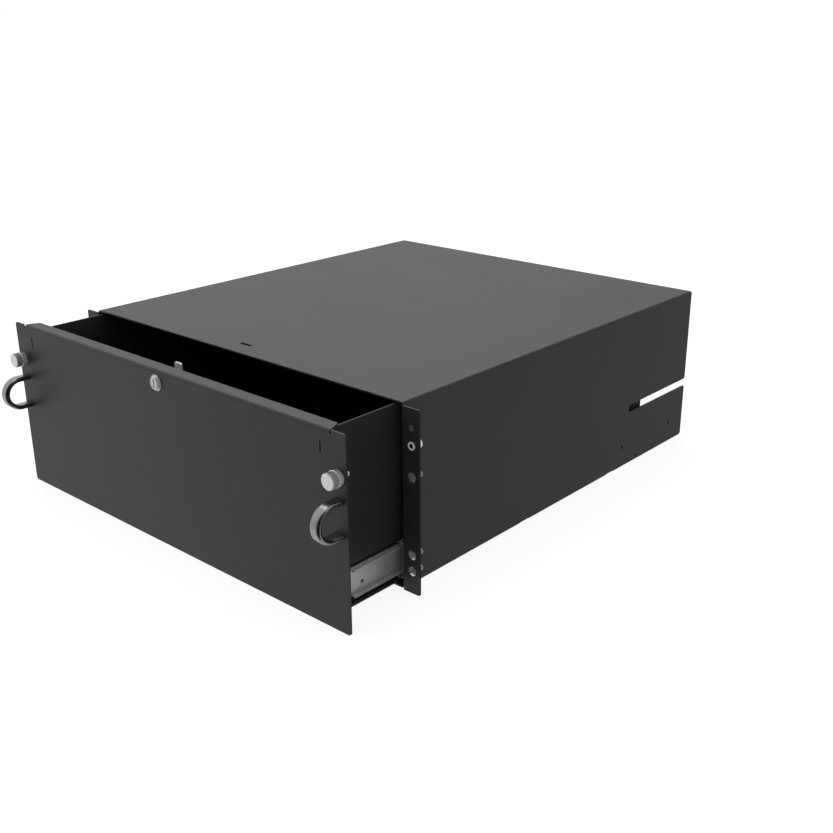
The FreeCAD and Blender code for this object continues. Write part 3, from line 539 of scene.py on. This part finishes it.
def recess_bar(lengthways, sideways):
    """1 within a bar of the recess's span and width, 0 outside it, and a soft step along its edges."""
    within_span = softened(recess_span / 2 - np.abs(lengthways), recess_edge)
    return within_span * softened(recess_width / 2 - np.abs(sideways), recess_edge)


def screw_head(centre):
    """Oval head: a sphere cap of the dome's height over the head's radius. The cross recess is the larger of
    two bars, sunk to its depth less a quarter towards the ends of the arms."""
    radius = np.concatenate((np.linspace(0.0, recess_reach, recess_rows),
                             np.linspace(rim_start, 1.0, rim_rows))) * screw_head_r
    ball_r = (screw_head_r ** 2 + screw_dome ** 2) / (2 * screw_dome)
    cap = ear_front - np.sqrt(ball_r ** 2 - radius ** 2) + ball_r - screw_dome
    turn = np.linspace(0.0, 2 * np.pi, head_columns, endpoint=False)
    u = radius[:, None] * np.cos(turn)
    v = radius[:, None] * np.sin(turn)
    depth = recess_depth * (1 - recess_rise * radius[:, None] / (recess_span / 2))
    sunk = depth * np.maximum(recess_bar(u, v), recess_bar(v, u))
    return around(radius, cap[:, None] + sunk, centre, head_columns)


def rack_screw(centre):
    """Grids of one screw: its head, a cone at 45 degrees through the ear, and the thread behind the ear."""
    cone = np.array(((screw_head_r, ear_front), (screw_head_r + ear_front, 0.0),
                     (screw_r, screw_thread_start), (0.0, screw_thread_start)))
    thread = threaded(screw_thread_start, screw_end, centre, screw_r, screw_pitch)
    return [screw_head(centre), turned(cone, centre, head_columns), capped(thread)]


screw_plate = rolled_metal("screw_plate", screw_nickel, roughness=0.22, metal=0.78)
screws = [rack_screw((x, z)) for x in screw_columns for z in screw_rows]
piece("rack_screw_set", [grid for screw in screws for grid in screw], screw_plate,
      "chassis", "screw_steel", "rack_screws")


# Ear inserts: turned steel bushes under nickel, one pressed into each ear to take the thumbscrew
# The coat runs over the seam between ear and insert, and leaves the insert's collar bare. Each bore is
# threaded and closed at the back, and coloured a dark painted shade for the inside of the hole.

insert_nickel = (0.88, 0.88, 0.86)
insert_body_r = 0.0042
collar_r = 0.0038
insert_round = 0.00025
insert_columns = 96
insert_low, insert_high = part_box("ear_inserts")
insert_z = (insert_low.z + insert_high.z) / 2
insert_centres = [(x, insert_z) for x in screw_columns]
bore_painted_shade_grey = (0.10, 0.10, 0.10)
bore_r = 0.0021
bore_mouth = 0.0004
bore_floor = 0.0010
bore_thread_r = 0.0023
bore_pitch = 0.0007
sleeve_r = 0.0027
sleeve_gap = 0.00004
thread_front = insert_low.y + bore_mouth
thread_end = insert_high.y - bore_floor
seam_r = 0.0046
seam_coat = 0.00008
seam_front = ear_front - seam_coat
side_share = 0.45


def eased(corners, radius, steps=4):
    """Profile with round corners: between the points one radius before and after a corner runs a parabola
    whose handle is the corner itself. On a short side the radius is cut to 0.45 of that side."""
    corners = np.asarray(corners, float)
    corner = corners[1:-1]
    before = corners[:-2] - corner
    after = corners[2:] - corner
    first = corner + before * np.minimum(radius / np.linalg.norm(before, axis=1), side_share)[:, None]
    last = corner + after * np.minimum(radius / np.linalg.norm(after, axis=1), side_share)[:, None]
    share = np.linspace(0.0, 1.0, steps + 1)[:, None]
    arcs = ((1 - share) ** 2 * first[:, None] + 2 * share * (1 - share) * corner[:, None]
            + share ** 2 * last[:, None])
    return np.concatenate((corners[:1], arcs.reshape(-1, 2), corners[-1:]))


def threaded_bore(centre):
    """Sleeve of a threaded hole: the thread inside, a smooth tube round it, and the first row once more."""
    inside = threaded(thread_front, thread_end - sleeve_gap, centre, bore_thread_r, bore_pitch)
    tube_r = sleeve_r - sleeve_gap
    tube_end = thread_end - sleeve_gap / 2
    tube = np.array(((0.0, tube_end), (tube_r, tube_end), (tube_r, thread_front)))
    return np.concatenate((inside, turned(tube, centre, thread_columns), inside[:1]))


bush = eased(((0.0, insert_high.y), (insert_body_r, insert_high.y), (insert_body_r, ear_front),
              (collar_r, ear_front), (collar_r, insert_low.y), (bore_r, insert_low.y),
              (bore_r, thread_front)), insert_round)
cavity = np.array(((sleeve_r, thread_front), (sleeve_r, thread_end), (0.0, thread_end)))
bush = np.concatenate((bush, cavity))
insert_plate = rolled_metal("insert_plate", insert_nickel, roughness=0.35, metal=0.1)
piece("insert_set", [turned(bush, centre, insert_columns) for centre in insert_centres],
      insert_plate, "chassis", "screw_steel", "ear_inserts")
seam = np.array(((seam_r, ear_front), (seam_r - seam_coat, seam_front), (collar_r + seam_coat, seam_front),
                 (collar_r, ear_front), (seam_r, ear_front)))
piece("insert_seams", [turned(seam, centre, insert_columns) for centre in insert_centres],
      coat, "chassis", "black_powder_coat")
# The bore's dark grey is painted shade: it stands for the dark inside of the hole.
bore_painted_shade_steel = rolled_metal("insert_bore_painted_shade", bore_painted_shade_grey, roughness=0.45)
piece("insert_bores", [threaded_bore(centre) for centre in insert_centres],
      bore_painted_shade_steel, "chassis", "screw_steel")


# Captive thumbscrews: a fluted knob on a threaded shank, in a pressed ferrule, all turned and nickelled
# The knob's rim carries 44 fine flutes, coloured darker than the knob as painted shade in their grooves.
# The ferrule is hollow, and its spigot is pressed into the panel.

knob_nickel = (0.95, 0.945, 0.93)
flute_painted_shade_grey = (0.50, 0.50, 0.49)
knob_flutes = 44
knob_flute_depth = 0.0004
knob_edge = 0.0006
knob_rim = 0.0012
knob_round = 0.00025
knob_step = 0.0005
flute_columns = 10
flute_power = 0.7
flute_margin = 1.6
flute_blend = 0.4
shank_r = 0.0020
shank_pitch = 0.0007
bezel_proud = 0.003
panel_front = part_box("lock_housing")[0].y + bezel_proud
ferrule_lip = 0.00045
ferrule_taper = 0.0009
ferrule_foot = 0.0003
ferrule_bore_r = 0.0023
ferrule_spigot_r = 0.0056
ferrule_hollow_r = 0.0047
ferrule_wall = 0.0009
ferrule_round = 0.0003
ferrule_columns = 128


def divided(profile, step):
    """Profile with extra points along each straight run, no further apart than step."""
    points = [profile[:1]]
    for first, last in zip(profile[:-1], profile[1:]):
        count = max(1, int(np.ceil(np.linalg.norm(last - first) / step)))
        points.append(first + (last - first) * np.linspace(0.0, 1.0, count + 1)[1:, None])
    return np.concatenate(points)


def fluted(profile, centre, outer):
    """Turned grid whose rim is fluted: where the radius comes near the outer one, it falls by the flute's
    depth times 1 less the 0.7th power of a sine's size, which runs from 0 to 1 and back once a flute."""
    columns = knob_flutes * flute_columns
    turn = np.linspace(0.0, 2 * np.pi, columns, endpoint=False)
    near = softened(profile[:, :1] - outer + flute_margin * knob_flute_depth, flute_blend * knob_flute_depth)
    ridge = np.abs(np.sin(turn * knob_flutes / 2)) ** flute_power
    return around(profile[:, :1] - knob_flute_depth * near * (1 - ridge), profile[:, 1], centre, columns)


def ferrule_profile(low, high):
    """Hollow cup: a collar that tapers to the panel, a spigot through it, and a wall round the hollow."""
    outer = (high.z - low.z) / 2
    foot = outer - ferrule_taper
    corners = ((ferrule_hollow_r, low.y + ferrule_wall), (ferrule_bore_r, low.y + ferrule_wall),
               (ferrule_bore_r, low.y), (outer - ferrule_lip, low.y), (outer, low.y + ferrule_lip),
               (foot, panel_front - ferrule_foot), (foot - ferrule_foot, panel_front),
               (ferrule_spigot_r, panel_front), (ferrule_spigot_r, high.y), (ferrule_bore_r, high.y),
               (ferrule_bore_r, high.y - ferrule_wall), (ferrule_hollow_r, high.y - ferrule_wall),
               (ferrule_hollow_r, low.y + ferrule_wall))
    return eased(corners, ferrule_round)


nickel = rolled_metal("nickel_plate", knob_nickel, roughness=0.30, metal=0.55)
# The flutes' darker grey is painted shade of their grooves; the plating itself is the same nickel.
rim_painted_shade_nickel = rolled_metal("nickel_with_painted_flute_shade", flute_painted_shade_grey, roughness=0.42, metal=0.55)
for side in ("left", "right"):
    low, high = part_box("thumb_knob_" + side)
    centre = ((low.x + high.x) / 2, (low.z + high.z) / 2)
    outer = (high.z - low.z) / 2
    front = eased(((0.0, low.y), (outer - knob_edge, low.y), (outer, low.y + knob_edge)), knob_round)
    rear = ((outer, high.y - knob_edge), (outer - knob_edge, high.y), (0.0, high.y))
    core = ((outer - knob_rim, low.y + knob_edge), (outer - knob_rim, high.y - knob_edge))
    ends = np.concatenate((front, core, rear))
    rim = np.array((front[-1], rear[0], core[1], core[0], front[-1]))
    piece("knob_" + side, [fluted(divided(ends, knob_step), centre, outer)], nickel,
          "thumb_screw_" + side, "nickel_knob", "thumb_knob_" + side)
    piece("knob_rim_" + side, [fluted(divided(rim, knob_step), centre, outer)], rim_painted_shade_nickel,
          "thumb_screw_" + side, "nickel_knob")
    cup = ferrule_profile(*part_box("thumb_ferrule_" + side))
    piece("ferrule_" + side, [turned(cup, centre, ferrule_columns)], nickel,
          "drawer", "nickel_knob", "thumb_ferrule_" + side)
    low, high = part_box("thumb_screw_" + side)
    piece("shank_" + side, [capped(threaded(low.y, high.y, centre, shank_r, shank_pitch))], nickel,
          "thumb_screw_" + side, "nickel_knob", "thumb_screw_" + side)
dress(nickel, "thumb_clip_left", "thumb_clip_right")


# Handles: oval bar bent to a C and polished, screwed on from behind the panel
# The bar keeps its flat sides, and the light runs along the bend in bands.

handle_grey = (0.40, 0.40, 0.41)
handle_bar = 0.0050
leg_rows = 15
bend_rows = 73
bar_columns = 72


def bent_bar(low, high, thick):
    """Oval bar swept along two legs and the half circle between them, in the plane of Y and Z. The section is
    a stadium: two half circles of half the thickness, set apart by the width less the thickness."""
    radius = (high.z - low.z - thick) / 2
    middle = (low.z + high.z) / 2
    bend_y = low.y + thick / 2 + radius
    leg = np.linspace(high.y, bend_y, leg_rows, endpoint=False)
    bend = np.linspace(0.0, np.pi, bend_rows)
    lean = np.concatenate((np.zeros(leg_rows), bend, np.full(leg_rows, np.pi)))[:, None]
    path_y = np.concatenate((leg, bend_y - radius * np.sin(bend), leg[::-1]))[:, None]
    path_z = middle - radius * np.cos(lean)
    turn = np.linspace(0.0, 2 * np.pi, bar_columns, endpoint=False)
    half_flat = (high.x - low.x - thick) / 2
    sideways = (low.x + high.x) / 2 + half_flat * np.sign(np.cos(turn)) + thick / 2 * np.cos(turn)
    outwards = thick / 2 * np.sin(turn)
    y = path_y - outwards * np.sin(lean)
    z = path_z - outwards * np.cos(lean)
    return np.stack((np.broadcast_to(sideways, y.shape), y, z), axis=-1)


chrome = rolled_metal("handle_chrome", handle_grey, roughness=0.27)
for side in ("left", "right"):
    low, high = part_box("handle_" + side)
    piece("pull_" + side, [capped(bent_bar(low, high, handle_bar))], chrome,
          "drawer", "polished_handle", "handle_" + side)
dress(screw_plate, "handle_screws")


# Lock: chromed die-cast housing with a sloping bezel, a plug with its key slot, and a zinc-plated cam
# Inside the slot stands the ward that the key's groove runs along. A nut behind the panel holds the housing,
# and a screw the cam.

lock_grey = (0.74, 0.74, 0.73)
bezel_r = 0.0078
bezel_slope = 0.0024
bezel_round = 0.0004
bezel_columns = 160
barrel_r = 0.0064
plug_bore = 0.00465
key_slot_width = 0.0017
key_slot_depth = 0.0070
ward_thick = 0.0005
ward_rise = (0.0006, 0.0016)
ward_inset = 0.0005
plug_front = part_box("lock_plug")[0].y
low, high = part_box("lock_housing")
lock_centre = ((low.x + high.x) / 2, (low.z + high.z) / 2)


def strip(low, high):
    """Rectangular bar along Y: its four corners, at the front and once more at the back."""
    x = np.array((low[0], high[0], high[0], low[0]))
    z = np.array((low[2], low[2], high[2], high[2]))
    return np.stack([np.stack((x, np.full(4, y), z), axis=-1) for y in (low[1], high[1])])


bezel = eased(((plug_bore, high.y), (plug_bore, low.y), (bezel_r - bezel_slope, low.y),
               (bezel_r, low.y + bezel_slope), (bezel_r, panel_front), (barrel_r, panel_front),
               (barrel_r, high.y), (plug_bore, high.y)), bezel_round)
lock_plate = rolled_metal("lock_plate", lock_grey, roughness=0.32, metal=0.55)
piece("lock_bezel", [turned(bezel, lock_centre, bezel_columns)], lock_plate,
      "drawer", "chrome_lock", "lock_housing")
wall_x = lock_centre[0] + key_slot_width / 2
ward = strip((wall_x - ward_thick, plug_front + ward_inset, lock_centre[1] + ward_rise[0]),
             (wall_x, plug_front + key_slot_depth, lock_centre[1] + ward_rise[1]))
piece("key_ward", [capped(ward)], lock_plate, "lock", "chrome_lock")
dress(lock_plate, "lock_plug")
dress(zinc, "lock_nut", "lock_cam")
dress(screw_plate, "cam_screw")


# Buffers: black rubber stops on the sides of the chassis, close behind the rear ends of the slides
# They are moulded to shape, and take the knock when the drawer is pushed home.

rubber_dark = (0.012, 0.012, 0.012)
rubber_light = (0.026, 0.026, 0.026)
rubber_bumps = 1400.0
rubber_span = (0.3, 0.7)
rubber_roughness = (0.65, 0.8)
rubber_relief = 0.00008


def rubber(name):
    """Moulded rubber: a dull black with a fine grain."""
    material = blank(name)
    tree = material.node_tree
    grain = object_noise(tree, rubber_bumps, detail=2.0)
    colour = mixed(tree, ranged(tree, grain, rubber_span), rubber_dark, rubber_light)
    rough = ranged(tree, grain, rubber_span, rubber_roughness)
    return finished(material, colour, rough, grain, rubber_relief)


dress(rubber("buffer_rubber"), "slide_buffers")
